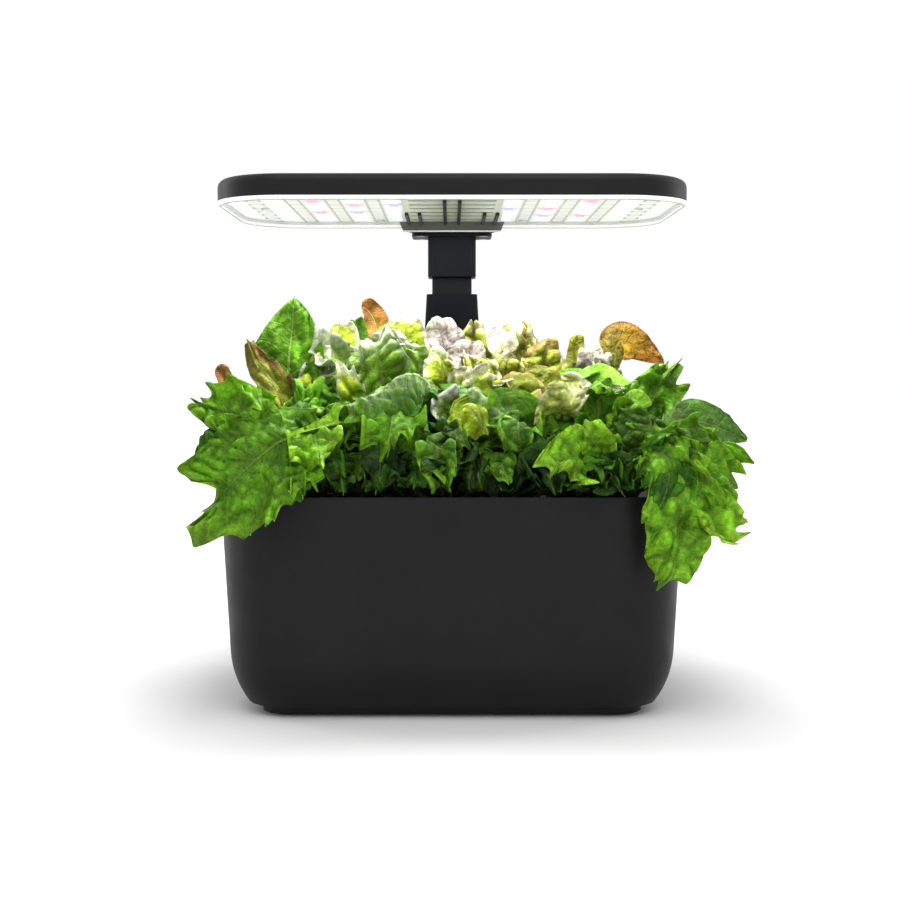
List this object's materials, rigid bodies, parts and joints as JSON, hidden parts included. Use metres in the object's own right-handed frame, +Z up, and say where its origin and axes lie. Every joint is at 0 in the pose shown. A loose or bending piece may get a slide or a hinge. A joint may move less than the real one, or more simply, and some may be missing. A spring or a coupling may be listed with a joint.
{
  "type": "hydroponic garden",
  "caption": "Countertop hydroponic garden: a tapered tub with a water tank and pod deck, lettuce heads, and a flat grow light on a telescoping mast.",
  "frame": {"origin": "on the floor, under the middle of the tub, in the plane of the feet", "axes": "+X to the right as seen from the front, -Y towards the front, +Z up"},
  "size_m": [0.3103, 0.2118, 0.2995],
  "materials": {
    "tub": "fine matt charcoal, moulded",
    "tank": "matt, moulded",
    "base": "matt black",
    "rubber": "soft matt",
    "screw": "zinc plated",
    "dark_screw": "black oxide",
    "jack": "satin black",
    "lead": "matt",
    "red_lead": "satin",
    "circuit_board": "solder mask green",
    "components": "moulded chip packages",
    "winding": "enamelled copper winding",
    "ceramic": "polished ceramic",
    "impeller": "moulded",
    "pump": "matt",
    "sponge_grey": "open foam",
    "seal": "soft silicone",
    "mast": "satin black",
    "bush": "acetal",
    "mast_tube": "black anodised",
    "bracket": "satin dark grey",
    "grille": "light grey",
    "lamp": "matt charcoal",
    "aluminium": "plain rolled",
    "led_board": "white solder mask",
    "white_led": "lit white",
    "red_led": "lit red",
    "blue_led": "lit violet blue",
    "bezel": "satin white",
    "lens": "clear",
    "light_button": "satin",
    "pump_button": "satin",
    "deck": "matt",
    "basket": "matt",
    "grow_sponge": "peat sponge",
    "guide": "natural",
    "float": "foam",
    "lid": "matt",
    "green_leaf": "leaf, frilly light green",
    "dark_leaf": "leaf, mid green",
    "romaine_leaf": "leaf, smooth green",
    "red_leaf": "leaf, red tinged"
  },
  "bodies": {
    "base": {"tub_shell": "tub", "reservoir": "tank", "base_plate": "base", "rubber_feet": "rubber", "base_screws": "screw", "power_jack": "jack", "jack_nut": "screw", "jack_lead": "lead", "control_board": "circuit_board", "board_parts": "components", "board_screws": "screw", "pump_motor": "winding", "pump_lead": "red_lead", "pump_shaft": "ceramic", "pump_cover": "pump", "pump_filter": "sponge_grey", "mast_seal": "seal", "mast_post": "mast", "post_screws": "screw", "mast_bush": "bush", "lead_tail": "lead"},
    "impeller": {"pump_impeller": "impeller"},
    "light": {"mast_inner_tube": "mast_tube", "head_sleeve": "mast_tube", "bracket_plate": "mast_tube", "lamp_bracket": "bracket", "bracket_screws": "dark_screw", "vent_grille": "grille", "lamp_housing": "lamp", "heat_spreader": "aluminium", "led_board": "led_board", "white_leds": "white_led", "red_leds": "red_led", "blue_leds": "blue_led", "lamp_bezel": "bezel", "lamp_lens": "lens", "lamp_screws": "screw", "switch_board": "circuit_board", "lamp_lead": "lead"},
    "light_button": {"light_button": "light_button"},
    "pump_button": {"pump_button": "pump_button"},
    "deck": {"grow_deck": "deck", "grow_sponges": "grow_sponge", "float_guide": "guide", "lid_pin": "screw", "pod_basket_1": "basket", "pod_basket_2": "basket", "pod_basket_3": "basket", "pod_basket_4": "basket", "pod_basket_5": "basket", "pod_basket_6": "basket", "lettuce_1": "green_leaf", "lettuce_2": "dark_leaf", "lettuce_3": "green_leaf", "lettuce_4": "romaine_leaf", "lettuce_5": "red_leaf", "lettuce_6": "dark_leaf"},
    "float": {"float": "float"},
    "fill_lid": {"fill_lid": "lid"}
  },
  "joints": [
    {"name": "mast_extend", "type": "slide", "parent": "base", "child": "light", "axis": [0, 0, 1], "range_m": [-0.01, 0.1], "deforming": ["lamp_lead"]},
    {"name": "deck_lift", "type": "slide", "parent": "base", "child": "deck", "axis": [0, 0, 1], "range_m": [0, 0.03]},
    {"name": "fill_lid_hinge", "type": "hinge", "parent": "deck", "child": "fill_lid", "pos_m": [-0.086, 0.0703, 0.1197], "axis": [-1, 0, 0], "range_deg": [0, 95]},
    {"name": "float_rise", "type": "slide", "parent": "deck", "child": "float", "axis": [0, 0, 1], "range_m": [-0.018, 0.012]},
    {"name": "impeller_spin", "type": "hinge", "parent": "base", "child": "impeller", "pos_m": [0.03955, -0.01732, 0.039], "axis": [0, 0, 1], "continuous": true},
    {"name": "light_button_press", "type": "slide", "parent": "light", "child": "light_button", "axis": [0, 0, -1], "range_m": [0, 0.0009], "stiffness_N_per_m": 800},
    {"name": "pump_button_press", "type": "slide", "parent": "light", "child": "pump_button", "axis": [0, 0, -1], "range_m": [0, 0.0009], "stiffness_N_per_m": 800}
  ]
}
